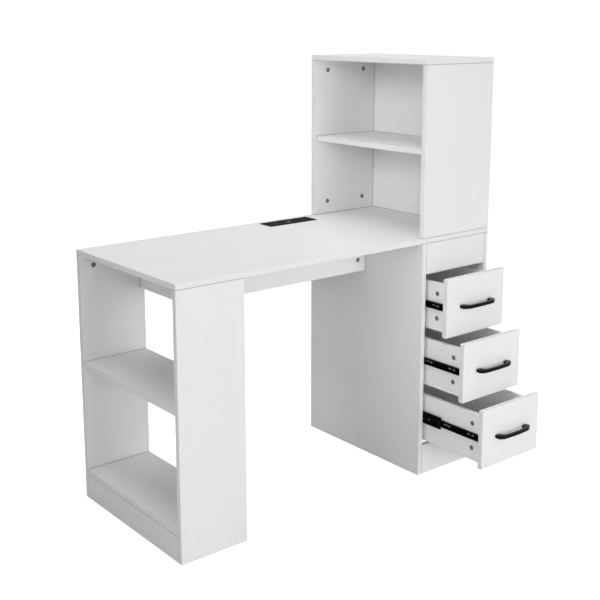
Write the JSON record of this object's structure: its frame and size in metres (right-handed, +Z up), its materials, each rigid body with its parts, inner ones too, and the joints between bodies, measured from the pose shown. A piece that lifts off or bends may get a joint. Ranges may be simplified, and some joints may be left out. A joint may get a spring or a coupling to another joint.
{
  "type": "manicure table",
  "caption": "White board desk for manicures: open shelf unit at the left, drawer cabinet on telescopic slides and an open hutch at the right, and a power strip let into the desktop.",
  "frame": {"origin": "middle of the whole footprint at floor level, with the drawers as open as they stand at rest", "axes": "+Z up; +X along the desktop towards the cabinet and hutch; +Y towards the back, so the drawers open towards -Y"},
  "size_m": [1.155, 0.7848, 1.276],
  "materials": {
    "white_laminate": "white melamine laminate with a faint pressed wood grain, satin",
    "white_hardboard": "thin white-faced hardboard, satin",
    "black_steel": "black electrophoretic coating on rolled steel, semi-gloss",
    "black_alloy": "black powder coat on die-cast alloy, satin",
    "black_plastic": "moulded black plastic, satin",
    "cam_zinc": "die-cast zinc cam locks, dull grey",
    "bright_steel": "zinc-plated screws, rivets and balls",
    "grey_plastic": "light grey moulded plastic of the port insert"
  },
  "bodies": {
    "desk": {"desktop": "white_laminate", "left_front_panel": "white_laminate", "left_back_panel": "white_laminate", "left_bottom_shelf": "white_laminate", "left_middle_shelf": "white_laminate", "left_outer_kickboard": "white_laminate", "left_inner_kickboard": "white_laminate", "left_top_rail": "white_laminate", "stretcher": "white_laminate", "cabinet_left_panel": "white_laminate", "cabinet_right_panel": "white_laminate", "cabinet_front_rail": "white_laminate", "cabinet_kickboard": "white_laminate", "cabinet_rear_rail": "white_laminate", "hutch_front_side": "white_laminate", "hutch_back_side": "white_laminate", "hutch_top": "white_laminate", "hutch_shelf": "white_laminate", "cabinet_back_panel": "white_hardboard", "hutch_back_panel": "white_hardboard", "power_strip_housing": "black_plastic", "power_strip_faceplate": "black_plastic", "power_strip_gland": "black_plastic", "power_strip_port_insert": "grey_plastic", "slide_1_left_outer": "black_steel", "slide_1_right_outer": "black_steel", "slide_2_left_outer": "black_steel", "slide_2_right_outer": "black_steel", "slide_3_left_outer": "black_steel", "slide_3_right_outer": "black_steel"},
    "slide_middle_1": {"slide_1_left_middle": "black_steel", "slide_1_right_middle": "black_steel"},
    "drawer_1": {"drawer_1_front": "white_laminate", "drawer_1_left_side": "white_laminate", "drawer_1_right_side": "white_laminate", "drawer_1_back": "white_laminate", "drawer_1_bottom": "white_hardboard", "drawer_1_handle": "black_alloy", "slide_1_left_inner": "black_steel", "slide_1_right_inner": "black_steel"},
    "slide_middle_2": {"slide_2_left_middle": "black_steel", "slide_2_right_middle": "black_steel"},
    "drawer_2": {"drawer_2_front": "white_laminate", "drawer_2_left_side": "white_laminate", "drawer_2_right_side": "white_laminate", "drawer_2_back": "white_laminate", "drawer_2_bottom": "white_hardboard", "drawer_2_handle": "black_alloy", "slide_2_left_inner": "black_steel", "slide_2_right_inner": "black_steel"},
    "slide_middle_3": {"slide_3_left_middle": "black_steel", "slide_3_right_middle": "black_steel"},
    "drawer_3": {"drawer_3_front": "white_laminate", "drawer_3_left_side": "white_laminate", "drawer_3_right_side": "white_laminate", "drawer_3_back": "white_laminate", "drawer_3_bottom": "white_hardboard", "drawer_3_handle": "black_alloy", "slide_3_left_inner": "black_steel", "slide_3_right_inner": "black_steel"}
  },
  "joints": [
    {"name": "middle_1_slide", "type": "slide", "parent": "desk", "child": "slide_middle_1", "axis": [0, -1, 0], "range_m": [0, 0.225]},
    {"name": "drawer_1_slide", "type": "slide", "parent": "slide_middle_1", "child": "drawer_1", "axis": [0, -1, 0], "range_m": [-0.085, 0.14]},
    {"name": "middle_2_slide", "type": "slide", "parent": "desk", "child": "slide_middle_2", "axis": [0, -1, 0], "range_m": [0, 0.225]},
    {"name": "drawer_2_slide", "type": "slide", "parent": "slide_middle_2", "child": "drawer_2", "axis": [0, -1, 0], "range_m": [-0.157, 0.068]},
    {"name": "middle_3_slide", "type": "slide", "parent": "desk", "child": "slide_middle_3", "axis": [0, -1, 0], "range_m": [-0.087, 0.138]},
    {"name": "drawer_3_slide", "type": "slide", "parent": "slide_middle_3", "child": "drawer_3", "axis": [0, -1, 0], "range_m": [-0.151, 0.074]}
  ]
}
